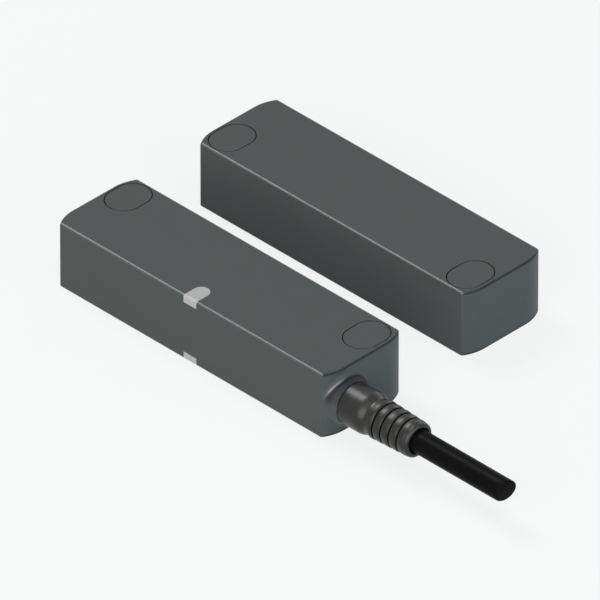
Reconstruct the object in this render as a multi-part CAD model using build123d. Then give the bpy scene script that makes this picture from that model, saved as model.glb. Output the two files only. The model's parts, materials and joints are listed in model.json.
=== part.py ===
from build123d import *
import math
import os

# Non-contact safety switch: a sensor with its cable, and the actuator that faces it.
# Millimetres. X runs along the sensor towards the cable, Y from the sensor to the actuator, Z up.
# The origin is the middle of the sensor's mounting face.

# Both housings
LENGTH = 89.0                # over the bowed ends
WIDTH = 25.4
HEIGHT = 18.0
CORNER_RADIUS = 10.5         # arcs that bow each end, seen from above
CORNER_SAG = 1.8             # the long side ends this far behind the end face
EDGE_ROUND = 0.5
UPRIGHT_ROUND = 0.3
WALL = 2.0
ROOF = 2.0
RIM = 1.1                    # lip of the wall around the base cover
COVER_THICKNESS = 1.8
COVER_FIT = 0.1
PAIR_SPACING = 45.8          # centreline to centreline, as the pair stands

# Fixing holes, sleeves, screw pockets and caps
HOLE_END_INSET = 5.5         # hole's axis from the end face
HOLE_SIDE_INSET = 6.8        # hole's axis from the side that faces the other housing
HOLE_RADIUS = 2.25           # clears an M4 screw
SLEEVE_WALL = 0.8
COLUMN_WALL = 1.8            # plastic around a sleeve
POCKET_WIDTH = 7.6
POCKET_LENGTH = 10.5
POCKET_FLOOR = 10.4          # height of the face that the screw head bears on
POCKET_BASE = 1.2            # plastic under that face
POCKET_WALL = 1.2
CAP_LEDGE = 0.75             # the cap's flange overhangs the pocket by this
CAP_FLANGE = 1.4
CAP_FIT = 0.15
CAP_EDGE_CHAMFER = 0.2
SKIRT_DEPTH = 2.8
SKIRT_WALL = 0.9

# Light guides at the sensor's outer edges
WINDOW_WIDTH = 4.2
WINDOW_REACH = 5.8           # back from the outer side
WINDOW_DROP = 2.0            # down the outer side
GUIDE_THICKNESS = 1.2
STEM_RADIUS = 1.2
STEM_GAP = 0.4               # stem to the wall beside it
LED_GAP = 0.2

# Circuit board and what is on it
BOARD_END_FIT = 1.0
BOARD_SIDE_FIT = 0.5
BOARD_THICKNESS = 1.6
BOARD_HEIGHT = 5.4           # underside
BOARD_CORNER = 1.5
POST_RADIUS = 1.4
POST_INSET = 2.0             # post's axis from the board's edges
POST_CORE_GAP = 0.3          # inner posts to the tips of the cable's cores
LED_LENGTH = 3.2
LED_WIDTH = 1.6
LED_BASE = 0.6
LENS_RADIUS = 0.7
RESISTOR_LENGTH = 3.2
RESISTOR_WIDTH = 1.6
RESISTOR_HEIGHT = 0.6
RESISTOR_SPACING_X = 7.0
RESISTOR_SPACING_Y = 3.4
RESISTOR_Y = -2.4

# Reed switches in a row, one opposite each magnet
REED_COUNT = 3
REED_INSET = 2.2             # glass axis from the board's edge
REED_STAND = 1.8             # glass axis above the board
GLASS_RADIUS = 1.1
GLASS_LENGTH = 13.0
GLASS_WALL = 0.3
GLASS_SEAL = 1.6
GLASS_END_CHAMFER = 0.5
LEAD_RADIUS = 0.25
FOOT_INSET = 1.17            # lead's foot from the end of its reed's share of the row
LEAD_BEND = 0.7
BLADE_WIDTH = 1.0
BLADE_THICKNESS = 0.2
BLADE_OVERLAP = 1.5
BLADE_GAP = 0.1

# Cable, its exit and its bend relief
CABLE_RADIUS = 2.9
CABLE_BORE = 1.65
CABLE_OUTSIDE = 49.6         # from the boss to the cut end
CABLE_SEAL = 1.0             # closed end of the jacket
CABLE_TAIL = 3.1             # jacket left inside, past its ferrule
CABLE_HEIGHT = 9.0
CORE_RADIUS = 0.62
CORE_CIRCLE = 0.95           # radius on which the four cores lie
CORE_BEND = 3.0
CORE_LEAD = 2.3              # straight on from the jacket
CORE_STAGGER = 1.5           # the upper two cores turn down this much later
CORE_DROP_RUN = 4.0
CORE_TIP_RUN = 3.0
CORE_PAD_SPACING = 1.9
CORE_FIT = 0.05
FERRULE_WALL = 0.6
FERRULE_LENGTH = 3.2
BOSS_MARGIN = 0.85           # the boss is this much larger than the bell it meets
BOSS_HEIGHT = 2.3
BOSS_SHOULDER = 0.3          # straight part of the boss before it domes over
BOSS_INSET = 0.05            # boss to the housing's outer side
NECK_RADIUS = 3.5            # boot inside the wall
COLLAR_OVERHANG = 0.7
COLLAR_THICKNESS = 1.5
COLLAR_FIT = 0.05
SEAT_DEPTH = 2.2             # end face to the collar's seat
BELL_RADIUS = 5.35
BELL_LENGTH = 5.5
BELL_ROUND = 0.3
WAIST_RADIUS = 4.7
WAIST_AT = 8.3               # from the boot's outer base
RING_COUNT = 5
RING_PITCH = 2.52
RING_CREST = 4.95            # first ring
RING_TAPER = 0.1             # each ring is this much smaller than the one before
RING_CROWN = 0.14
GROOVE_WIDTH = 0.45
GROOVE_DEPTH = 0.75
TIP_RUN = 0.7                # the last ring is this much longer
TIP_ROUND = 0.8
MOUTH_STEP = 0.55            # recess around the cable in the boot's tip
MOUTH_DEPTH = 0.8

# Actuator's magnets and their carrier
MAGNET_LENGTH = 12.0
MAGNET_WIDTH = 5.0
MAGNET_HEIGHT = 5.0
MAGNET_FIT = 0.1
MAGNET_CHAMFER = 0.3
CARRIER_WALL = 1.5
CARRIER_FIT = 0.1
MAGNET_BOTTOM = 6.5
CARRIER_LIP = 1.1            # carrier's rim above the magnets

MIDDLE = (Align.CENTER, Align.CENTER, Align.MIN)
CUT_OVER = 1.0               # how far a cutter runs past what it cuts

roof_underside = HEIGHT - ROOF
hole_x = LENGTH / 2 - HOLE_END_INSET
hole_y = WIDTH / 2 - HOLE_SIDE_INSET
sleeve_radius = HOLE_RADIUS + SLEEVE_WALL
column_radius = sleeve_radius + COLUMN_WALL
cup_width = POCKET_WIDTH + 2 * POCKET_WALL

board_length = 2 * (hole_x - max(column_radius, cup_width / 2) - BOARD_END_FIT)
board_width = WIDTH - 2 * WALL - 2 * BOARD_SIDE_FIT
board_top = BOARD_HEIGHT + BOARD_THICKNESS
post_x = board_length / 2 - POST_INSET
post_y = board_width / 2 - POST_INSET
stem_y = -WIDTH / 2 + WALL + STEM_GAP + STEM_RADIUS
reed_spacing = 2 * (post_x - POST_RADIUS) / REED_COUNT
reed_y = board_width / 2 - REED_INSET
reed_height = board_top + REED_STAND

boss_radius = BELL_RADIUS + BOSS_MARGIN
cable_y = -WIDTH / 2 + BOSS_INSET + boss_radius
boot_base = LENGTH / 2 + BOSS_HEIGHT
collar_seat = LENGTH / 2 - SEAT_DEPTH
collar_radius = NECK_RADIUS + COLLAR_OVERHANG
boot_start = collar_seat - COLLAR_THICKNESS
boot_tip = boot_base + WAIST_AT + RING_COUNT * RING_PITCH + TIP_RUN
cable_start = boot_start - FERRULE_LENGTH - CABLE_TAIL
cable_end = boot_base + CABLE_OUTSIDE
core_bend = cable_start - CORE_LEAD
core_tips = core_bend - CORE_STAGGER - CORE_DROP_RUN - CORE_TIP_RUN
inner_post_x = core_tips - POST_CORE_GAP - POST_RADIUS
magnet_y = -WIDTH / 2 + WALL + CARRIER_FIT + CARRIER_WALL + MAGNET_FIT + MAGNET_WIDTH / 2


def prism(face, low, high):
    return Pos(0, 0, low) * extrude(face, high - low)


def rod(radius, start, end):
    # cylinder on the cable's axis
    turned = Rot(0, 90, 0) * Cylinder(radius, end - start, align=MIDDLE)
    return Pos(start, cable_y, CABLE_HEIGHT) * turned


def turned_on_cable(profile):
    # profile drawn as (x, radius), spun about the cable's axis
    face = make_face(profile)
    return Pos(0, cable_y, CABLE_HEIGHT) * revolve(Plane.XZ * face, Axis.X)


def outline(points):
    return [Line(start, end) for start, end in zip(points, points[1:])]


def upside_down(shape):
    # same piece on the opposite face of the housing
    return mirror(shape, about=Plane.XY.offset(HEIGHT / 2))


def block_plan(inset):
    # rectangle with bowed ends: a flat middle and an arc to each long side
    radius = CORNER_RADIUS - inset
    centre_x = LENGTH / 2 - CORNER_RADIUS
    flat = WIDTH / 2 - math.sqrt(2 * CORNER_RADIUS * CORNER_SAG - CORNER_SAG ** 2)
    side = WIDTH / 2 - inset
    rise = side - flat
    turn = math.degrees(math.asin(rise / radius))
    corner_x = centre_x + math.sqrt(radius ** 2 - rise ** 2)
    end_x = centre_x + radius
    return make_face(
        [
            Line((end_x, -flat), (end_x, flat)),
            CenterArc((centre_x, flat), radius, 0, turn),
            Line((corner_x, side), (-corner_x, side)),
            CenterArc((-centre_x, flat), radius, 180 - turn, turn),
            Line((-end_x, flat), (-end_x, -flat)),
            CenterArc((-centre_x, -flat), radius, 180, turn),
            Line((-corner_x, -side), (corner_x, -side)),
            CenterArc((centre_x, -flat), radius, -turn, turn),
        ]
    )


def on_long_side(edge):
    # the upright edges where an end arc meets a long side
    return abs(abs(edge.center().Y) - WIDTH / 2) < EDGE_ROUND


def block():
    # outside of a housing, with its edges rounded
    solid = extrude(block_plan(0), HEIGHT)
    solid = fillet(solid.edges().filter_by(Axis.Z).filter_by(on_long_side), UPRIGHT_ROUND)
    faces = solid.faces().sort_by(Axis.Z)
    return fillet(faces[0].edges() + faces[-1].edges(), EDGE_ROUND)


def oval(margin):
    # screw pocket's outline, long across the housing, made wider by a margin all round
    return SlotOverall(POCKET_LENGTH + 2 * margin, POCKET_WIDTH + 2 * margin, rotation=90)


def fixing_points(side):
    return [(-hole_x, side * hole_y), (hole_x, side * hole_y)]


def housing(side):
    shell = block()
    shell -= prism(block_plan(WALL), -CUT_OVER, roof_underside)
    shell -= prism(block_plan(RIM), -CUT_OVER, COVER_THICKNESS)
    room = prism(block_plan(RIM), COVER_THICKNESS, HEIGHT - CAP_FLANGE)
    for x, y in fixing_points(side):
        tower = prism(Circle(column_radius), COVER_THICKNESS, POCKET_FLOOR)
        tower += prism(oval(POCKET_WALL), POCKET_FLOOR - POCKET_BASE, HEIGHT - CAP_FLANGE)
        shell += room & (Pos(x, y) * tower)
    for x, y in fixing_points(side):
        opening = prism(oval(CAP_LEDGE + CAP_FIT), HEIGHT - CAP_FLANGE, HEIGHT + CUT_OVER)
        opening += prism(oval(0), POCKET_FLOOR, HEIGHT)
        opening += prism(Circle(sleeve_radius), 0, POCKET_FLOOR)
        shell -= Pos(x, y) * opening
    return shell


def base_cover(side):
    cover = prism(block_plan(RIM + COVER_FIT), 0, COVER_THICKNESS)
    for x, y in fixing_points(side):
        cover -= Pos(x, y) * prism(Circle(sleeve_radius + COVER_FIT), 0, COVER_THICKNESS)
    return cover


def sleeve(x, y):
    ring = Circle(sleeve_radius) - Circle(HOLE_RADIUS)
    return Pos(x, y) * prism(ring, 0, POCKET_FLOOR)


def cap(x, y):
    # flange on the pocket's ledge, with a hollow skirt that plugs the pocket
    underside = HEIGHT - CAP_FLANGE
    flange = prism(oval(CAP_LEDGE), underside, HEIGHT)
    flange = chamfer(flange.faces().sort_by(Axis.Z)[-1].edges(), CAP_EDGE_CHAMFER)
    wall = oval(-CAP_FIT) - oval(-CAP_FIT - SKIRT_WALL)
    return Pos(x, y) * (flange + prism(wall, underside - SKIRT_DEPTH, underside))


def window():
    # the part of the upper light guide that shows, flush with the housing
    front = -WIDTH / 2
    round_y = front + WINDOW_REACH - WINDOW_WIDTH / 2
    strip_length = round_y - front + CUT_OVER
    strip = Rectangle(WINDOW_WIDTH, strip_length, align=(Align.CENTER, Align.MAX))
    plan = Pos(0, round_y) * (strip + Circle(WINDOW_WIDTH / 2))
    plate = prism(plan, HEIGHT - GUIDE_THICKNESS, HEIGHT + CUT_OVER)
    leg_plan = Rectangle(WINDOW_WIDTH, GUIDE_THICKNESS, align=(Align.CENTER, Align.MIN))
    leg = prism(Pos(0, front) * leg_plan, HEIGHT - WINDOW_DROP, HEIGHT)
    return block() & (plate + leg)


def stem(low, high):
    return Pos(0, stem_y) * prism(Circle(STEM_RADIUS), low, high)


def light_guides():
    lens_reach = LED_BASE + LENS_RADIUS + LED_GAP
    upper = window() + stem(board_top + lens_reach, HEIGHT - GUIDE_THICKNESS)
    lower = upside_down(window()) + stem(GUIDE_THICKNESS, BOARD_HEIGHT - lens_reach)
    return upper, lower


def posts(low, high):
    # the same four places on the roof above the board and on the cover below it
    places = [(-post_x, post_y), (post_x, post_y), (-inner_post_x, -post_y), (inner_post_x, -post_y)]
    return [Pos(x, y) * prism(Circle(POST_RADIUS), low, high) for x, y in places]


def circuit_board():
    plan = RectangleRounded(board_length, board_width, BOARD_CORNER)
    return prism(plan, BOARD_HEIGHT, board_top)


def led():
    base = Box(LED_LENGTH, LED_WIDTH, LED_BASE, align=MIDDLE)
    return base + Pos(0, 0, LED_BASE) * Sphere(LENS_RADIUS, arc_size1=0)


def indicator_leds():
    above = Pos(0, stem_y, board_top) * led()
    below = Pos(0, stem_y, BOARD_HEIGHT) * mirror(led(), about=Plane.XY)
    return Compound([above, below])


def chip_resistors():
    places = GridLocations(RESISTOR_SPACING_X, RESISTOR_SPACING_Y, 3, 2)
    chip = Box(RESISTOR_LENGTH, RESISTOR_WIDTH, RESISTOR_HEIGHT, align=MIDDLE)
    return Compound([Pos(0, RESISTOR_Y, board_top) * place * chip for place in places])


def reed_places():
    return [(index - (REED_COUNT - 1) / 2) * reed_spacing for index in range(REED_COUNT)]


def along_x(radius, length):
    return Rot(0, 90, 0) * Cylinder(radius, length)


def reed_glass(x):
    tube = along_x(GLASS_RADIUS, GLASS_LENGTH)
    tube = chamfer(tube.edges().filter_by(GeomType.CIRCLE), GLASS_END_CHAMFER)
    tube -= along_x(GLASS_RADIUS - GLASS_WALL, GLASS_LENGTH - 2 * GLASS_SEAL)
    tube -= along_x(LEAD_RADIUS, GLASS_LENGTH)
    return Pos(x, reed_y, reed_height) * tube


def reed_contacts(x):
    # two leads, each flattened to a blade inside the glass, that overlap across a gap
    seal_end = GLASS_LENGTH / 2 - GLASS_SEAL
    foot_x = reed_spacing / 2 - FOOT_INSET
    route = FilletPolyline(
        (-foot_x, 0, -REED_STAND), (-foot_x, 0, 0), (-seal_end, 0, 0), radius=LEAD_BEND
    )
    foot = Plane(origin=route @ 0, z_dir=route % 0)
    lead = sweep(foot * Circle(LEAD_RADIUS), path=route)
    blade_length = seal_end + BLADE_OVERLAP / 2
    low = (Align.MIN, Align.CENTER, Align.MAX)
    blade = Box(blade_length, BLADE_WIDTH, BLADE_THICKNESS, align=low)
    left = lead + Pos(-seal_end, 0, -BLADE_GAP / 2) * blade
    high = (Align.MAX, Align.CENTER, Align.MIN)
    blade = Box(blade_length, BLADE_WIDTH, BLADE_THICKNESS, align=high)
    right = mirror(lead, about=Plane.YZ) + Pos(seal_end, 0, BLADE_GAP / 2) * blade
    return Pos(x, reed_y, reed_height) * Compound([left, right])


def boss():
    # dome around the cable's exit, run back into the end wall
    drop = BOSS_MARGIN
    run = BOSS_HEIGHT - BOSS_SHOULDER
    radius = (run ** 2 + drop ** 2) / (2 * drop)
    dome_start = LENGTH / 2 + BOSS_SHOULDER
    turn = math.degrees(math.asin(run / radius))
    profile = outline([
        (boot_base, BELL_RADIUS), (boot_base, 0), (collar_seat, 0),
        (collar_seat, boss_radius), (dome_start, boss_radius),
    ])
    profile.append(CenterArc((dome_start, boss_radius - radius), radius, 90, -turn))
    return turned_on_cable(profile)


def boot():
    # bend relief: inner collar, neck through the wall, bell, waist and a tapering row of rings
    bell_edge = BELL_RADIUS - BELL_ROUND
    profile = outline([
        (boot_start, CABLE_RADIUS), (boot_start, collar_radius),
        (collar_seat, collar_radius), (collar_seat, NECK_RADIUS),
        (boot_base, NECK_RADIUS), (boot_base, bell_edge),
        (boot_base + BELL_ROUND, BELL_RADIUS), (boot_base + BELL_LENGTH, BELL_RADIUS),
    ])
    # the waist runs into the first ring in one curve
    waist_x = boot_base + WAIST_AT
    here = (waist_x + RING_PITCH - GROOVE_WIDTH / 2, RING_CREST - RING_CROWN)
    profile.append(Spline(
        (boot_base + BELL_LENGTH, BELL_RADIUS), (waist_x, WAIST_RADIUS),
        (waist_x + RING_PITCH / 2, RING_CREST), here, tangents=[(1, 0), (1, -0.3)],
    ))
    for index in range(1, RING_COUNT):
        crest = RING_CREST - RING_TAPER * index
        ring_start = (here[0] + GROOVE_WIDTH, crest - RING_CROWN)
        floor = here[1] - GROOVE_DEPTH
        profile += outline([here, (here[0], floor), (ring_start[0], floor), ring_start])
        centre_x = waist_x + RING_PITCH * (index + 0.5)
        end_x = 2 * centre_x - ring_start[0]
        profile.append(ThreePointArc(ring_start, (centre_x, crest), (end_x, ring_start[1])))
        here = (end_x, ring_start[1])
    # rounded tip, with a recess around the cable
    round_centre = (boot_tip - TIP_ROUND, here[1] - TIP_ROUND)
    profile.append(Line(here, (round_centre[0], here[1])))
    profile.append(CenterArc(round_centre, TIP_ROUND, 90, -90))
    profile += outline([
        (boot_tip, round_centre[1]), (boot_tip, CABLE_RADIUS + MOUTH_STEP),
        (boot_tip - MOUTH_DEPTH, CABLE_RADIUS), (boot_start, CABLE_RADIUS),
    ])
    return turned_on_cable(profile)


def sensor_housing():
    shell = housing(1) + boss()
    shell -= rod(NECK_RADIUS, cable_start, boot_base)
    shell -= rod(collar_radius + COLLAR_FIT, cable_start, collar_seat)
    for post in posts(board_top, roof_underside):
        shell += post
    shell -= window() + upside_down(window())
    return shell - stem(roof_underside, HEIGHT - GUIDE_THICKNESS)


def sensor_base_cover():
    cover = base_cover(1)
    for pillar in posts(COVER_THICKNESS, BOARD_HEIGHT):
        cover += pillar
    cover -= upside_down(window())
    return cover - stem(GUIDE_THICKNESS, COVER_THICKNESS)


def cable_jacket():
    tube = rod(CABLE_RADIUS, cable_start, cable_end)
    return tube - rod(CABLE_BORE, cable_start, cable_end - CABLE_SEAL)


def cable_core(up, out):
    # straight in the jacket, then down to its pad on the board
    offset = CORE_CIRCLE / math.sqrt(2)
    y = cable_y + out * offset
    z = CABLE_HEIGHT + up * offset
    spread = 0.5 if up > 0 else 1.5
    pad_y = cable_y + out * spread * CORE_PAD_SPACING
    pad_z = board_top + CORE_RADIUS + CORE_FIT
    bend_x = core_bend - (CORE_STAGGER if up > 0 else 0)
    pad_x = bend_x - CORE_DROP_RUN
    route = FilletPolyline(
        (pad_x - CORE_TIP_RUN, pad_y, pad_z), (pad_x, pad_y, pad_z),
        (bend_x, y, z), (cable_end - CABLE_SEAL, y, z), radius=CORE_BEND,
    )
    tip = Plane(origin=route @ 0, z_dir=route % 0)
    return sweep(tip * Circle(CORE_RADIUS), path=route)


def cable_ferrule():
    ring = rod(CABLE_RADIUS + FERRULE_WALL, boot_start - FERRULE_LENGTH, boot_start)
    return ring - rod(CABLE_RADIUS, boot_start - FERRULE_LENGTH, boot_start)


def magnet(x):
    bar = Box(MAGNET_LENGTH, MAGNET_WIDTH, MAGNET_HEIGHT, align=MIDDLE)
    return Pos(x, magnet_y, MAGNET_BOTTOM) * chamfer(bar.edges(), MAGNET_CHAMFER)


def magnet_carrier():
    # tray that stands on the base cover, with a pocket for each magnet and hollows below them
    width = MAGNET_WIDTH + 2 * MAGNET_FIT + 2 * CARRIER_WALL
    top = MAGNET_BOTTOM + MAGNET_HEIGHT + CARRIER_LIP
    plan = Rectangle(REED_COUNT * reed_spacing, width)
    tray = Pos(0, magnet_y) * prism(plan, COVER_THICKNESS, top)
    pocket = Rectangle(MAGNET_LENGTH + 2 * MAGNET_FIT, MAGNET_WIDTH + 2 * MAGNET_FIT)
    for x in reed_places():
        tray -= Pos(x, magnet_y) * prism(pocket, MAGNET_BOTTOM, top)
        tray -= Pos(x, magnet_y) * prism(pocket, COVER_THICKNESS, MAGNET_BOTTOM - CARRIER_WALL)
    return tray


def sensor():
    upper, lower = light_guides()
    parts = {
        "sensor_housing": sensor_housing(),
        "sensor_base_cover": sensor_base_cover(),
        "light_guide_upper": upper,
        "light_guide_lower": lower,
        "circuit_board": circuit_board(),
        "indicator_leds": indicator_leds(),
        "chip_resistors": chip_resistors(),
        "cable_boot": boot(),
        "cable_jacket": cable_jacket(),
        "cable_ferrule": cable_ferrule(),
    }
    for number, x in enumerate(reed_places(), 1):
        parts[f"reed_glass_{number}"] = reed_glass(x)
        parts[f"reed_contacts_{number}"] = reed_contacts(x)
    sides = [(1, 1), (1, -1), (-1, -1), (-1, 1)]
    for number, (up, out) in enumerate(sides, 1):
        parts[f"cable_core_{number}"] = cable_core(up, out)
    for name, (x, y) in zip(("left", "right"), fixing_points(1)):
        parts[f"sensor_sleeve_{name}"] = sleeve(x, y)
        parts[f"sensor_cap_{name}"] = cap(x, y)
    return parts


def actuator():
    parts = {
        "actuator_housing": housing(-1),
        "actuator_base_cover": base_cover(-1),
        "magnet_carrier": magnet_carrier(),
    }
    for number, x in enumerate(reed_places(), 1):
        parts[f"magnet_{number}"] = magnet(x)
    for name, (x, y) in zip(("left", "right"), fixing_points(-1)):
        parts[f"actuator_sleeve_{name}"] = sleeve(x, y)
        parts[f"actuator_cap_{name}"] = cap(x, y)
    return {name: Pos(0, PAIR_SPACING, 0) * shape for name, shape in parts.items()}


os.makedirs("parts", exist_ok=True)
for node, shape in {**sensor(), **actuator()}.items():
    export_step(shape, f"parts/{node}.step")
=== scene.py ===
import json
import math
import bpy
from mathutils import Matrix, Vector

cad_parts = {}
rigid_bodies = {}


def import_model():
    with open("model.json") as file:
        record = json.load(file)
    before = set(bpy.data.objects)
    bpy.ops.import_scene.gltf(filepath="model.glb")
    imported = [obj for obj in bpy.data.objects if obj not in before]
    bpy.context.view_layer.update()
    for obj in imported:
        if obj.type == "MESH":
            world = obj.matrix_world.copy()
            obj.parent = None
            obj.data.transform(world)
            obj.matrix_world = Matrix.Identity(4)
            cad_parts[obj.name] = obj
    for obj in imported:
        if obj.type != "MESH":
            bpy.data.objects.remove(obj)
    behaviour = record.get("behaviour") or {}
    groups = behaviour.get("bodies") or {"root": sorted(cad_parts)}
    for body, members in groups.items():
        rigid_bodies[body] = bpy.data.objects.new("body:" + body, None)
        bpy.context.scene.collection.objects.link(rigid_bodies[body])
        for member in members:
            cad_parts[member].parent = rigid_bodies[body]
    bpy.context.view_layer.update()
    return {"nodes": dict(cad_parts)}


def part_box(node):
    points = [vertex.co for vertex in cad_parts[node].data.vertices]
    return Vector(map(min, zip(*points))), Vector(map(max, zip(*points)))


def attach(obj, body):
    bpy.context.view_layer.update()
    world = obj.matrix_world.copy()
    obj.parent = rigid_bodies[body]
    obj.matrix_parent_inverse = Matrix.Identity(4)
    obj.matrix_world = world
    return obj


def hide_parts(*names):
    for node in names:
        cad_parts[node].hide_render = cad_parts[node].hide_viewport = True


for startObject in list(bpy.data.objects):
    bpy.data.objects.remove(startObject)
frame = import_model()
print("frame loaded:", len(frame["nodes"]), "nodes")

mm = 0.001
smoothAngle = math.radians(40)
sensorLow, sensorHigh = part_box("sensor_housing")
actuatorLow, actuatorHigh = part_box("actuator_housing")
jacketLow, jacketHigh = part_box("cable_jacket")
cableAxis = (jacketLow + jacketHigh) / 2
cableRadius = (jacketHigh.z - jacketLow.z) / 2
pairSpacing = actuatorLow.y - sensorLow.y


def selectOnly(piece):
    bpy.ops.object.select_all(action="DESELECT")
    piece.select_set(True)
    bpy.context.view_layer.objects.active = piece


def pickFaces(piece, wanted):
    # edit mode with just the faces selected that the test accepts
    selectOnly(piece)
    bpy.ops.object.mode_set(mode="EDIT")
    bpy.ops.mesh.select_mode(type="FACE")
    bpy.ops.mesh.select_all(action="DESELECT")
    bpy.ops.object.mode_set(mode="OBJECT")
    for face in piece.data.polygons:
        face.select = wanted(face)
    bpy.ops.object.mode_set(mode="EDIT")


def turnFacesOut():
    # from edit mode back to object mode, with every face outwards
    bpy.ops.mesh.select_all(action="SELECT")
    bpy.ops.mesh.normals_make_consistent(inside=False)
    bpy.ops.object.mode_set(mode="OBJECT")


# camera at the photograph's isometric angle, on a long lens
photoView = {
    "aim": Vector((9.27, 13.94, 8.89)) * mm,
    "azimuth": 45.0,
    "elevation": 35.264,
    "frameWidth": 138.64 * mm,
    "halfAngle": 0.65,
    "sensor": 36.0,
}


def placeCamera():
    azimuth, elevation = math.radians(photoView["azimuth"]), math.radians(photoView["elevation"])
    level = math.cos(elevation)
    back = Vector((math.sin(azimuth) * level, -math.cos(azimuth) * level, math.sin(elevation)))
    spread = math.tan(math.radians(photoView["halfAngle"]))
    distance = photoView["frameWidth"] / 2 / spread
    bpy.ops.object.camera_add(location=photoView["aim"] + back * distance)
    camera = bpy.context.object
    camera.name = "photoCamera"
    camera.rotation_euler = (-back).to_track_quat("-Z", "Y").to_euler()
    camera.data.sensor_width = photoView["sensor"]
    camera.data.lens = photoView["sensor"] / 2 / spread
    camera.data.clip_start = distance / 10
    camera.data.clip_end = distance * 2
    bpy.context.scene.camera = camera


placeCamera()
print("camera placed")


# cable: straight out of the ferrule, through the boot, to the cut end
cable = {
    "route": [(34.5, -6.45, 9.0), (55.2, -6.45, 9.0), (75.9, -6.45, 9.0), (96.4, -6.45, 9.0)],
    "exit": (46.8, -6.45, 9.0),
    "length": 61.9,
    "ringFaces": 14,
    "join": 0.001,           # points closer than this become one
    "spare": 2.0,            # tube past the cut, for the cutters to take off
    "cutLean": (1.0, -0.176, -0.176),
    "plain": 4.0,            # no rings of the tube this near the cut
    "plainAngle": 0.5,
    "rim": 0.45,
    "rimSteps": 4,
}


def cableLine(name, route):
    line = bpy.data.curves.new(name, "CURVE")
    line.dimensions = "3D"
    spline = line.splines.new("NURBS")
    spline.points.add(len(route) - 1)
    for point, place in zip(spline.points, route):
        point.co = (*(Vector(place) * mm), 1.0)
    spline.order_u = 3
    spline.use_endpoint_u = True
    lineObject = bpy.data.objects.new(name, line)
    bpy.context.scene.collection.objects.link(lineObject)
    return lineObject


def cablePath():
    # the points that the jacket follows, read from the bare line
    bareLine = cableLine("cable_path", cable["route"])
    bpy.context.view_layer.update()
    points = bpy.data.meshes.new_from_object(bareLine)
    path = [tuple(vertex.co) for vertex in points.vertices]
    bpy.data.objects.remove(bareLine)
    bpy.data.meshes.remove(points)
    return path


def layCable():
    # a tube on the same line, cut at a slant as cutters leave it, with a soft rim
    *route, (endX, endY, endZ) = cable["route"]
    jacket = cableLine("cable_jacket_outer", route + [(endX + cable["spare"], endY, endZ)])
    jacket.data.bevel_depth = cableRadius
    jacket.data.bevel_resolution = cable["ringFaces"]
    jacket.data.use_fill_caps = True
    selectOnly(jacket)
    bpy.ops.object.convert(target="MESH")
    jacket = bpy.context.object
    bpy.ops.object.mode_set(mode="EDIT")
    bpy.ops.mesh.select_all(action="SELECT")
    bpy.ops.mesh.remove_doubles(threshold=cable["join"] * mm)
    bpy.ops.object.mode_set(mode="OBJECT")
    # the cut and its rim go through plain tube
    plainFrom = (endX - cable["plain"]) * mm
    pickFaces(jacket, lambda face: face.center.x > plainFrom and abs(face.normal.x) < 0.5)
    bpy.ops.mesh.dissolve_limited(angle_limit=math.radians(cable["plainAngle"]))
    bpy.ops.mesh.select_all(action="SELECT")
    lean = Vector(cable["cutLean"]).normalized()
    cut = Vector((endX, endY, endZ)) * mm
    bpy.ops.mesh.bisect(plane_co=cut, plane_no=lean, clear_outer=True, use_fill=True)
    turnFacesOut()
    pickFaces(jacket, lambda face: face.normal.dot(lean) > 0.999)
    bpy.ops.mesh.bevel(offset=cable["rim"] * mm, segments=cable["rimSteps"], profile=0.5)
    bpy.ops.object.mode_set(mode="OBJECT")
    bpy.ops.object.shade_smooth_by_angle(angle=smoothAngle)
    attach(jacket, "sensor")
    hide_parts("cable_jacket")
    return jacket


cableJacket = layCable()
print("cable laid")


# end walls of both housings: flat on each side of their middle, then bowed back
endWall = {"bow": 10.5, "flat": 6.82}

# the cable's boss runs into the bowed end wall in a hollow round
bossBlend = {
    "radius": 1.4,
    "steps": 9,
    "around": 120,
    "sink": 0.3,             # depth of the ring's back inside the wall
    "settle": 0.01,          # the ring's rim and side lie this far inside the plastic
    "sideGap": 0.05,         # boss to the housing's outer side
}
bossRadius = cableAxis.y - sensorLow.y - bossBlend["sideGap"] * mm


def endWallX(y):
    # read off the actuator, which has the same end wall and no boss in front of it
    bow, flat = endWall["bow"] * mm, endWall["flat"] * mm
    rise = min(max(abs(y) - flat, 0.0), sensorHigh.y - flat)
    return actuatorHigh.x - bow + math.sqrt(bow ** 2 - rise ** 2)


def bossSection():
    # (out from the boss, up from the wall), round the section and back inside the plastic
    radius, sink, settle = (bossBlend[key] * mm for key in ("radius", "sink", "settle"))
    section = [(-sink, -sink), (-sink, radius)]
    for step in range(bossBlend["steps"] + 1):
        turn = math.radians(90 * step / bossBlend["steps"])
        section.append((radius * (1 - math.cos(turn)), radius * (1 - math.sin(turn)) - settle))
    section.append((radius, -sink))
    return section


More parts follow.
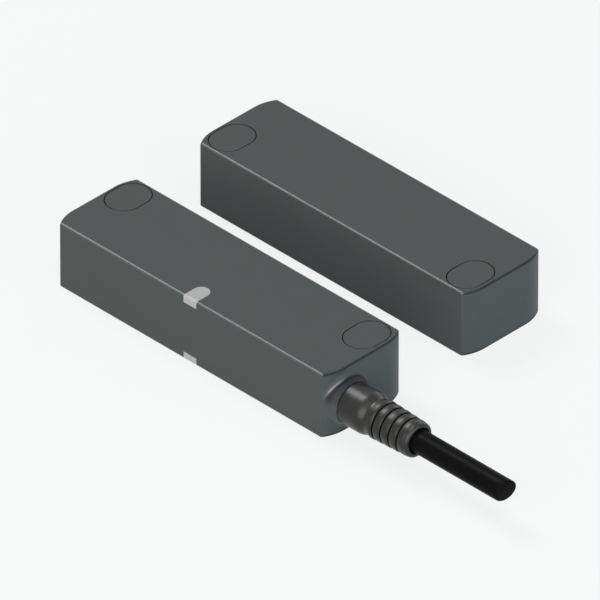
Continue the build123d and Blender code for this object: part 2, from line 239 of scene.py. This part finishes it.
def blendBoss():
    # a circle drawn out along the section
    section = bossSection()
    firstOut, firstUp = section[0]
    centre = Vector((0.0, cableAxis.y, cableAxis.z))
    bpy.ops.object.select_all(action="DESELECT")
    bpy.ops.mesh.primitive_circle_add(
        vertices=bossBlend["around"], radius=bossRadius + firstOut,
        location=centre + Vector((firstUp, 0, 0)), rotation=(0, math.radians(90), 0),
    )
    ring = bpy.context.object
    ring.name = "boss_blend"
    bpy.ops.object.transform_apply(location=True, rotation=True, scale=True)
    bpy.ops.object.mode_set(mode="EDIT")
    bpy.ops.mesh.select_mode(type="EDGE")
    bpy.ops.mesh.select_all(action="SELECT")
    for (outHere, upHere), (outNext, upNext) in zip(section, section[1:]):
        bpy.ops.mesh.extrude_edges_move(TRANSFORM_OT_translate={"value": (upNext - upHere, 0, 0)})
        grow = (bossRadius + outNext) / (bossRadius + outHere)
        here = (upNext, centre.y, centre.z)
        bpy.ops.transform.resize(value=(1, grow, grow), center_override=here)
    # close the section, then seat the ring on the bowed wall, flush with the side
    bpy.ops.mesh.select_all(action="DESELECT")
    bpy.ops.mesh.select_non_manifold()
    bpy.ops.mesh.bridge_edge_loops()
    bpy.ops.object.mode_set(mode="OBJECT")
    for vertex in ring.data.vertices:
        vertex.co.y = max(vertex.co.y, sensorLow.y + bossBlend["settle"] * mm)
        vertex.co.x += endWallX(vertex.co.y)
    bpy.ops.object.mode_set(mode="EDIT")
    turnFacesOut()
    bpy.ops.object.shade_smooth_by_angle(angle=smoothAngle)
    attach(ring, "sensor")
    return ring


bossRing = blendBoss()
print("boss blended into the wall")


class Wire:
    # a shader value: sums and products of wires add their Math nodes
    def __init__(self, nodes, socket):
        self.nodes, self.socket = nodes, socket

    def __add__(self, other):
        return self.nodes.calculate("ADD", self, other)

    def __sub__(self, other):
        return self.nodes.calculate("SUBTRACT", self, other)

    def __rsub__(self, other):
        return self.nodes.calculate("SUBTRACT", other, self)

    def __mul__(self, other):
        return self.nodes.calculate("MULTIPLY", self, other)

    def __gt__(self, other):
        return self.nodes.calculate("GREATER_THAN", self, other)

    def __lt__(self, other):
        return self.nodes.calculate("LESS_THAN", self, other)

    def __abs__(self):
        return self.nodes.calculate("ABSOLUTE", self)

    def __mod__(self, other):
        return self.nodes.calculate("FLOORED_MODULO", self, other)

    def __pow__(self, other):
        return self.nodes.calculate("POWER", self, other)

    __radd__, __rmul__ = __add__, __mul__


class Nodes:
    # a node tree, and the one method that makes its nodes
    def __init__(self, tree):
        self.tree = tree

    def add(self, kind, settings=None, inputs=None, output=0):
        node = self.tree.nodes.new(kind)
        for name, value in (settings or {}).items():
            setattr(node, name, value)
        for key, value in (inputs or {}).items():
            self.feed(node.inputs[key], value)
        return Wire(self, node.outputs[output])

    def feed(self, socket, value):
        if isinstance(value, Wire):
            self.tree.links.new(value.socket, socket)
        else:
            socket.default_value = value

    def calculate(self, operation, first, second=0.0):
        return self.add("ShaderNodeMath", {"operation": operation}, {0: first, 1: second})

    def mixShaders(self, share, first, second):
        return self.add("ShaderNodeMixShader", {}, {0: share, 1: first, 2: second})


class Finish(Nodes):
    # a material round one Principled shader
    def __init__(self, name, constants=None):
        self.material = bpy.data.materials.new(name)
        self.material.use_nodes = True
        super().__init__(self.material.node_tree)
        self.shader = self.tree.nodes["Principled BSDF"]
        for socketName, value in (constants or {}).items():
            self.surface(socketName, value)

    def place(self):
        return self.add("ShaderNodeTexCoord", output="Object")

    def noise(self, place, size, detail=2.0):
        inputs = {"Vector": place, "Scale": 1 / size, "Detail": detail}
        return self.add("ShaderNodeTexNoise", {}, inputs)

    def stretched(self, place, scale):
        return self.add("ShaderNodeMapping", {}, {"Vector": place, "Scale": scale})

    def axis(self, place, letter):
        return self.add("ShaderNodeSeparateXYZ", {}, {"Vector": place}, letter)

    def step(self, value, low, high):
        # 0 below low, 1 above high, smooth between
        inputs = {"Value": value, "From Min": low, "From Max": high}
        return self.add("ShaderNodeMapRange", {"interpolation_type": "SMOOTHSTEP"}, inputs)

    def colour(self, first, second, share):
        # sockets 6, 7 and output 2 are the ones for colours
        inputs = {0: share}
        for key, value in ((6, first), (7, second)):
            inputs[key] = value if isinstance(value, Wire) else (*value, 1.0)
        return self.add("ShaderNodeMix", {"data_type": "RGBA"}, inputs, 2)

    def bump(self, height, depth):
        self.surface("Normal", self.add("ShaderNodeBump", {}, {"Height": height, "Distance": depth}))

    def surface(self, socketName, value):
        self.feed(self.shader.inputs[socketName], value)


# moulded plastics: a fine spark-eroded skin over slight changes of tone
sparkSkin = {
    "tone": (0.0385, 0.0448, 0.0430), "paleTone": (0.0430, 0.0495, 0.0478), "clouds": 9.0,
    "cloudShare": 0.6, "grain": 0.28, "grainDepth": 0.010, "rough": 0.46, "roughSpread": 0.10,
    "specular": 0.17,
}
# the darkest tone in the housings' and the caps' looks is painted shade: on the housings' end edges, on
# the boss's upper side, and in the grooves round the caps
plastics = {
    "housingGrey": {
        **sparkSkin, "polish": 1.0, "rootPolish": 1.5, "polishSmooth": 0.08,
        "paintedShade": (0.010, 0.011, 0.0125), "bossPaintedShade": 0.9,
    },
    "capGrey": {
        **sparkSkin, "paintedShade": (0.004, 0.004, 0.004), "paintedShadeFrom": (0.03, 0.10), "paintedShadeTo": (0.5, 1.0),
    },
    "coverGrey": {
        **sparkSkin, "tone": (0.038, 0.041, 0.040), "paleTone": (0.048, 0.051, 0.050),
        "grain": 0.6, "grainDepth": 0.006, "rough": 0.38, "roughSpread": 0.12, "specular": 0.4,
    },
    "carrierGrey": {
        **sparkSkin, "tone": (0.085, 0.085, 0.086), "paleTone": (0.105, 0.105, 0.105),
        "grain": 0.5, "grainDepth": 0.008, "rough": 0.5, "specular": 0.4,
    },
}

# how far in from each face the polish of the long edges and the painted shade of the end edges start and
# are full, in roundings of the edge
edgeRound = 0.5 * mm
edgePolishAndShade = {"side": (1.2, 0.8), "face": (0.9, 0.5), "belowFace": (1.6, 1.2), "end": (0.6, 0.2)}

# the polish of the boss's root and the painted shade on its upper side: out from the cable's axis, up and
# sideways from it, in radii of the boss
bossPolishAndShade = {
    "paintedShadeOut": (1.01, 1.04), "paintedShadeUp": (0.1, 0.5),
    "polishIn": (1.01, 1.03), "polishOut": (1.04, 1.07), "polishUp": (0.4, 0.8), "polishSide": (-0.4, 0.1),
    "wall": (0.955, 0.98),   # in half lengths of the housing
}


def edgeShares(finish, place):
    # how much a point lies on the long edges of both housings, which handling has polished, and
    # how much on the edges of their end walls, which get painted shade
    def polishAndShadeBand(inset, edge):
        start, full = edgePolishAndShade[edge]
        return 1 - finish.step(inset, full * edgeRound, start * edgeRound)

    middleY, middleZ = (sensorLow.y + sensorHigh.y) / 2, (sensorLow.z + sensorHigh.z) / 2
    halfWidth, halfHeight = sensorHigh.y - middleY, sensorHigh.z - middleZ
    x, y, z = finish.axis(place, "X"), finish.axis(place, "Y"), finish.axis(place, "Z")
    # off the middle of whichever housing the point is on
    across = abs((y - middleY + pairSpacing / 2) % pairSpacing - pairSpacing / 2)
    fromSide, fromFace = halfWidth - across, halfHeight - abs(z - middleZ)
    bow, flat = endWall["bow"] * mm, endWall["flat"] * mm
    rise = finish.calculate("MAXIMUM", across - flat)
    fromEnd = (bow * bow - rise * rise) ** 0.5 + (actuatorHigh.x - bow) - abs(x)
    atSide = polishAndShadeBand(fromSide, "side")
    atEnd = polishAndShadeBand(fromEnd, "end") * polishAndShadeBand(fromFace, "belowFace")
    return atSide * polishAndShadeBand(fromFace, "face"), atEnd * (1 - atSide)


def bossShares(finish, place):
    # how much a point lies on the outer upper part of the boss's root, which an insert of the mould
    # leaves smoother, and how much on the upper side of the boss, round the boot, where shade is painted
    def past(value, key, unit=bossRadius):
        low, high = bossPolishAndShade[key]
        return finish.step(value, low * unit, high * unit)

    offY, offZ = finish.axis(place, "Y") - cableAxis.y, finish.axis(place, "Z") - cableAxis.z
    fromAxis = (offY * offY + offZ * offZ) ** 0.5
    beyondWall = past(finish.axis(place, "X"), "wall", actuatorHigh.x)
    onRoot = past(fromAxis, "polishIn") * (1 - past(fromAxis, "polishOut"))
    outerUpper = past(offZ, "polishUp") * (1 - past(offY, "polishSide"))
    onTop = (1 - past(fromAxis, "paintedShadeOut")) * past(offZ, "paintedShadeUp")
    return onRoot * outerUpper * beyondWall, onTop * beyondWall


def capRimShade(finish, place, look):
    # the groove round a cap, just under its rim, with painted shade
    below = sensorHigh.z - finish.axis(place, "Z")
    start, end = ([depth * mm for depth in look[key]] for key in ("paintedShadeFrom", "paintedShadeTo"))
    return finish.step(below, *start) * (1 - finish.step(below, *end))


def mouldedPlastic(name):
    look = plastics[name]
    finish = Finish(name, {"Specular IOR Level": look["specular"], "Coat Roughness": look["rough"]})
    place = finish.place()
    clouds = finish.noise(place, look["clouds"] * mm, detail=3.0)
    grain = finish.noise(place, look["grain"] * mm, detail=3.0)
    rough = look["rough"] + (grain - 0.5) * look["roughSpread"]
    share = clouds * look["cloudShare"] + grain * (1 - look["cloudShare"])
    body = finish.colour(look["tone"], look["paleTone"], share)
    if "polish" in look:
        longEdges, endEdgeShade = edgeShares(finish, place)
        bossRoot, bossTopShade = bossShares(finish, place)
        smooth = longEdges + bossRoot * look["rootPolish"]
        finish.surface("Coat Weight", smooth * look["polish"])
        rough = rough - smooth * look["polishSmooth"]
        # painted shade: the end walls' top and bottom edges and the boss's upper side round the boot are
        # darkened
        body = finish.colour(body, look["paintedShade"], endEdgeShade + bossTopShade * look["bossPaintedShade"])
    elif "paintedShade" in look:
        # painted shade in the groove round each cap
        body = finish.colour(body, look["paintedShade"], capRimShade(finish, place, look))
    finish.surface("Base Color", body)
    finish.surface("Roughness", rough)
    finish.bump(grain, look["grainDepth"] * mm)
    return finish.material


# soft rubbers: the sheath's grain runs along the cable, as it left the extruder
rubbers = {
    "bootRubber": {
        "tone": (0.0040, 0.0039, 0.0034), "paleTone": (0.0075, 0.0072, 0.0064), "clouds": 4.0,
        "grain": 0.35, "grainDepth": 0.004, "rough": 0.30, "roughSpread": 0.14, "specular": 0.34,
        "stretch": (1, 1, 1),
    },
    "cableSheath": {
        "tone": (0.0018, 0.0018, 0.0017), "paleTone": (0.0034, 0.0034, 0.0032), "clouds": 4.0,
        "grain": 0.5, "grainDepth": 0.010, "rough": 0.31, "roughSpread": 0.14, "specular": 0.025,
        "stretch": (0.06, 1, 1),
    },
}


def softRubber(name):
    look = rubbers[name]
    finish = Finish(name, {"Specular IOR Level": look["specular"]})
    place = finish.stretched(finish.place(), look["stretch"])
    grain = finish.noise(place, look["grain"] * mm, detail=3.0)
    clouds = finish.noise(place, look["clouds"] * mm)
    finish.surface("Base Color", finish.colour(look["tone"], look["paleTone"], clouds))
    finish.surface("Roughness", look["rough"] + grain * look["roughSpread"])
    finish.bump(grain, look["grainDepth"] * mm)
    return finish.material


coreTones = {
    "coreBrown": (0.105, 0.038, 0.014),
    "coreBlue": (0.012, 0.062, 0.30),
    "coreWhite": (0.70, 0.69, 0.65),
    "coreBlack": (0.010, 0.010, 0.011),
}
insulation = {
    "paler": 1.25, "stretch": (0.1, 1, 1), "grain": 0.3, "grainDepth": 0.006, "rough": 0.30,
    "roughSpread": 0.16,
}


def coreInsulation(name):
    tone = coreTones[name]
    finish = Finish(name)
    place = finish.stretched(finish.place(), insulation["stretch"])
    grain = finish.noise(place, insulation["grain"] * mm, detail=3.0)
    paleTone = tuple(insulation["paler"] * part for part in tone)
    finish.surface("Base Color", finish.colour(tone, paleTone, grain))
    finish.surface("Roughness", insulation["rough"] + grain * insulation["roughSpread"])
    finish.bump(grain, insulation["grainDepth"] * mm)
    return finish.material


guide = {
    "milk": (0.264, 0.268, 0.261), "paleMilk": (0.297, 0.301, 0.294), "haze": 1.6, "rough": 0.32,
    "roughSpread": 0.16, "grain": 0.5, "grainDepth": 0.006, "specular": 0.4,
    "glow": 0.4, "glowShare": 0.15,      # how deep light goes in, and how much of it
}


def milkyGuide():
    constants = {
        "Specular IOR Level": guide["specular"], "Subsurface Weight": guide["glowShare"],
        "Subsurface Scale": 1.0, "Subsurface Radius": [guide["glow"] * mm] * 3,
    }
    finish = Finish("milkyGuide", constants)
    place = finish.place()
    haze = finish.noise(place, guide["haze"] * mm)
    finish.surface("Base Color", finish.colour(guide["milk"], guide["paleMilk"], haze))
    finish.surface("Roughness", guide["rough"] + haze * guide["roughSpread"])
    finish.bump(finish.noise(place, guide["grain"] * mm), guide["grainDepth"] * mm)
    return finish.material


# metals: fine scratches over a tone that the years have dulled in patches
metals = {
    "turnedBrass": {
        "tone": (0.56, 0.39, 0.15), "dull": (0.40, 0.27, 0.11), "rough": 0.28, "stretch": (1, 1, 8),
    },
    "crimpedSteel": {
        "tone": (0.52, 0.52, 0.51), "dull": (0.38, 0.38, 0.37), "rough": 0.34, "stretch": (1, 8, 8),
    },
    "reedAlloy": {
        "tone": (0.60, 0.58, 0.53), "dull": (0.46, 0.44, 0.40), "rough": 0.24, "stretch": (0.2, 4, 4),
    },
    "magnetPlating": {
        "tone": (0.56, 0.55, 0.53), "dull": (0.42, 0.42, 0.41), "rough": 0.22, "stretch": (1, 1, 1),
    },
}
metalWear = {
    "patch": 2.5, "patchFrom": 0.35, "patchFull": 0.7, "patchRough": 0.08,
    "scratch": 0.5, "scratchRough": 0.18, "scratchDepth": 0.008,
}


def wornMetal(name):
    look = metals[name]
    finish = Finish(name, {"Metallic": 1.0})
    place = finish.place()
    patches = finish.noise(place, metalWear["patch"] * mm, detail=4.0)
    streaks = finish.stretched(place, look["stretch"])
    scratches = finish.noise(streaks, metalWear["scratch"] * mm, detail=4.0)
    share = finish.step(patches, metalWear["patchFrom"], metalWear["patchFull"])
    rough = look["rough"] + scratches * metalWear["scratchRough"] + share * metalWear["patchRough"]
    finish.surface("Base Color", finish.colour(look["tone"], look["dull"], share))
    finish.surface("Roughness", rough)
    finish.bump(scratches, metalWear["scratchDepth"] * mm)
    return finish.material


# the reed switches' glass
reedGlass = {
    "tint": (0.80, 0.92, 0.84), "paleTint": (0.90, 0.97, 0.92), "ior": 1.48, "ripple": 1.5,
    "rippleDepth": 0.02, "rough": 0.02, "roughSpread": 0.04,
}


def clearGlass():
    finish = Finish("clearGlass", {"Transmission Weight": 1.0, "IOR": reedGlass["ior"]})
    ripple = finish.noise(finish.place(), reedGlass["ripple"] * mm)
    finish.surface("Base Color", finish.colour(reedGlass["tint"], reedGlass["paleTint"], ripple))
    finish.surface("Roughness", reedGlass["rough"] + ripple * reedGlass["roughSpread"])
    finish.bump(ripple, reedGlass["rippleDepth"] * mm)
    return finish.material


board = {
    "mask": (0.010, 0.066, 0.026), "track": (0.024, 0.120, 0.050), "laminate": (0.36, 0.34, 0.17),
    "tin": (0.62, 0.60, 0.55), "lane": 1.27, "laneShare": 0.2, "run": 1.1, "runStretch": (0.12, 1, 0),
    "pad": 0.85, "weave": 0.35, "rough": 0.30, "roughSpread": 0.14, "edgeRough": 0.25,
    "relief": 0.03, "trackRelief": 0.6, "padRelief": 0.5, "weaveRelief": 0.25,
}


def leadPads(finish, x, y):
    # a tinned pad at each foot of the reed switches' leads
    firstLow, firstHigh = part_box("reed_contacts_1")
    nextLow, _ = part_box("reed_contacts_2")
    spacing, footX = nextLow.x - firstLow.x, (firstHigh.x - firstLow.x) / 2
    footY = (firstLow.y + firstHigh.y) / 2
    along = abs(abs((x + spacing / 2) % spacing - spacing / 2) - footX)
    fromFoot = (along * along + (y - footY) * (y - footY)) ** 0.5
    return fromFoot < board["pad"] * mm


def boardLaminate():
    # tracks under the solder mask in lanes along the board, and bare laminate at its edges
    finish = Finish("boardLaminate")
    place = finish.place()
    x, y = finish.axis(place, "X"), finish.axis(place, "Y")
    lane = abs((y % (board["lane"] * mm)) - board["lane"] / 2 * mm)
    runs = finish.noise(finish.stretched(place, board["runStretch"]), board["run"] * mm, detail=0.0)
    tracks = (lane < board["lane"] * board["laneShare"] * mm) * (runs > 0.5)
    pads = leadPads(finish, x, y)
    normalZ = finish.axis(finish.add("ShaderNodeTexCoord", output="Normal"), "Z")
    edge = abs(normalZ) < 0.5
    skin = finish.colour(board["mask"], board["track"], tracks)
    tinned = finish.colour(skin, board["tin"], pads)
    finish.surface("Base Color", finish.colour(tinned, board["laminate"], edge))
    finish.surface("Metallic", pads * (1 - edge))
    weave = finish.noise(place, board["weave"] * mm, detail=3.0)
    finish.surface("Roughness", board["rough"] + weave * board["roughSpread"] + edge * board["edgeRough"])
    relief = tracks * board["trackRelief"] + pads * board["padRelief"] + weave * board["weaveRelief"]
    finish.bump(relief, board["relief"] * mm)
    return finish.material


# small parts on the board
chip = {
    "body": (0.018, 0.018, 0.020), "tin": (0.60, 0.59, 0.56), "pitch": 7.0, "bodyHalf": 1.15,
    "grain": 0.2, "grainDepth": 0.008, "rough": 0.30, "roughSpread": 0.25,
}
diode = {
    "case": (0.66, 0.65, 0.60), "lens": (0.70, 0.52, 0.10), "caseHeight": 0.6, "cloud": 0.6,
    "cloudDepth": 0.01, "caseRough": 0.42, "lensRough": 0.12, "roughSpread": 0.08,
}


def chipResistor():
    # tinned ends, one after another along the row
    finish = Finish("chipResistor")
    place = finish.place()
    pitch = chip["pitch"] * mm
    along = abs((finish.axis(place, "X") + pitch / 2) % pitch - pitch / 2)
    ends = along > chip["bodyHalf"] * mm
    grain = finish.noise(place, chip["grain"] * mm, detail=3.0)
    finish.surface("Base Color", finish.colour(chip["body"], chip["tin"], ends))
    finish.surface("Metallic", ends)
    finish.surface("Roughness", chip["rough"] + grain * chip["roughSpread"])
    finish.bump(grain, chip["grainDepth"] * mm)
    return finish.material


def ledBody():
    # pale case against the board, tinted lens beyond it
    boardLow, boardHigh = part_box("circuit_board")
    middle, half = (boardLow.z + boardHigh.z) / 2, (boardHigh.z - boardLow.z) / 2
    finish = Finish("ledBody")
    place = finish.place()
    fromBoard = abs(finish.axis(place, "Z") - middle) - half
    lens = fromBoard > diode["caseHeight"] * mm
    cloud = finish.noise(place, diode["cloud"] * mm)
    rough = diode["caseRough"] - lens * (diode["caseRough"] - diode["lensRough"])
    finish.surface("Base Color", finish.colour(diode["case"], diode["lens"], lens))
    finish.surface("Roughness", rough + cloud * diode["roughSpread"])
    finish.bump(cloud * (1 - lens), diode["cloudDepth"] * mm)
    return finish.material


def dress(finish, *nodeNames):
    for nodeName in nodeNames:
        for slot in frame["nodes"][nodeName].material_slots:
            slot.material = finish


def named(pattern, *parts):
    return [pattern.format(part) for part in parts]


sides = ("left", "right")
housingFinish = mouldedPlastic("housingGrey")
dress(housingFinish, "sensor_housing", "actuator_housing")
bossRing.data.materials.append(housingFinish)
capNames = named("sensor_cap_{}", *sides) + named("actuator_cap_{}", *sides)
dress(mouldedPlastic("capGrey"), *capNames)
dress(mouldedPlastic("coverGrey"), "sensor_base_cover", "actuator_base_cover")
dress(mouldedPlastic("carrierGrey"), "magnet_carrier")
dress(milkyGuide(), "light_guide_upper", "light_guide_lower")
dress(softRubber("bootRubber"), "cable_boot")
cableJacket.data.materials.append(softRubber("cableSheath"))
print("moulded parts finished")

sleeveNames = named("sensor_sleeve_{}", *sides) + named("actuator_sleeve_{}", *sides)
dress(wornMetal("turnedBrass"), *sleeveNames)
dress(wornMetal("crimpedSteel"), "cable_ferrule")
dress(wornMetal("reedAlloy"), *named("reed_contacts_{}", 1, 2, 3))
dress(wornMetal("magnetPlating"), *named("magnet_{}", 1, 2, 3))
dress(clearGlass(), *named("reed_glass_{}", 1, 2, 3))
dress(boardLaminate(), "circuit_board")
dress(chipResistor(), "chip_resistors")
dress(ledBody(), "indicator_leds")
coreNames = named("cable_core_{}", 1, 2, 3, 4)
for coreName, toneName in zip(coreNames, coreTones):
    dress(coreInsulation(toneName), coreName)
print("inner parts finished")

cablePath()


# pale floor and soft studio light
studio = {
    "floorSize": 6.0,
    "paper": (0.913, 0.9216, 0.9216),
    "floorGlow": 1.0,
    "floorTone": (0.78, 0.78, 0.78),
    "shadowShare": 0.12,     # how much of the floor's own shading the camera sees
    "worldTone": (0.98, 1.0, 1.0),
    "worldLevel": 0.07,
    "lampDistance": 1.5,
}
lamps = {
    "keyLamp": {"towards": (-0.58, 0.02, 0.81), "size": 0.60, "power": 14.5, "tint": (1, 1, 1)},
    "frontLamp": {"towards": (0.36, -0.86, 0.34), "size": 1.60, "power": 35.5, "tint": (1.0, 0.97, 0.97)},
    "endLamp": {"towards": (0.97, 0.05, 0.16), "size": 1.30, "power": 27.5, "tint": (0.77, 0.84, 1.0)},
    "topLamp": {"towards": (0.33, -0.26, 0.90), "size": 0.22, "power": 4.2, "tint": (1, 1, 1)},
    "backLamp": {"towards": (-0.2, 0.95, 0.25), "size": 0.90, "power": 4.0, "tint": (1, 1, 1)},
}


def backgroundRays(nodes):
    # rays that look at the background: from the camera, in a reflection or through glass
    rays = nodes.add("ShaderNodeLightPath", output="Is Camera Ray")
    for name in ("Is Glossy Ray", "Is Transmission Ray"):
        rays = nodes.calculate("MAXIMUM", rays, nodes.add("ShaderNodeLightPath", output=name))
    return rays


def layFloor():
    bpy.ops.object.select_all(action="DESELECT")
    bpy.ops.mesh.primitive_plane_add(size=studio["floorSize"])
    floor = bpy.context.object
    floor.name = "floor"
    paper = bpy.data.materials.new("paleFloor")
    paper.use_nodes = True
    nodes = Nodes(paper.node_tree)
    nodes.tree.nodes.remove(nodes.tree.nodes["Principled BSDF"])
    matt = nodes.add("ShaderNodeBsdfDiffuse", {}, {"Color": (*studio["floorTone"], 1.0)})
    glowInputs = {"Color": (*studio["paper"], 1.0), "Strength": studio["floorGlow"]}
    glow = nodes.add("ShaderNodeEmission", {}, glowInputs)
    seen = nodes.mixShaders(studio["shadowShare"], glow, matt)
    both = nodes.mixShaders(backgroundRays(nodes), matt, seen)
    nodes.feed(nodes.tree.nodes["Material Output"].inputs["Surface"], both)
    floor.data.materials.append(paper)


def lightRoom():
    # a dim room for the light, and the paper's tone for what looks at it
    world = bpy.data.worlds.new("paleRoom")
    bpy.context.scene.world = world
    world.use_nodes = True
    nodes = Nodes(world.node_tree)
    nodes.tree.nodes.remove(nodes.tree.nodes["Background"])
    roomInputs = {"Color": (*studio["worldTone"], 1.0), "Strength": studio["worldLevel"]}
    room = nodes.add("ShaderNodeBackground", {}, roomInputs)
    seen = nodes.add("ShaderNodeBackground", {}, {"Color": (*studio["paper"], 1.0)})
    both = nodes.mixShaders(backgroundRays(nodes), room, seen)
    nodes.feed(nodes.tree.nodes["World Output"].inputs["Surface"], both)


def hangLamp(name, lamp):
    direction = Vector(lamp["towards"]).normalized()
    place = photoView["aim"] + direction * studio["lampDistance"]
    bpy.ops.object.light_add(type="AREA", location=place)
    light = bpy.context.object
    light.name = name
    light.rotation_euler = (-direction).to_track_quat("-Z", "Y").to_euler()
    light.data.size = lamp["size"]
    light.data.energy = lamp["power"]
    light.data.color = lamp["tint"]
    light.visible_camera = False


layFloor()
lightRoom()
for lampName, lamp in lamps.items():
    hangLamp(lampName, lamp)
bpy.context.scene.view_settings.view_transform = "Standard"
print("stage and light set")
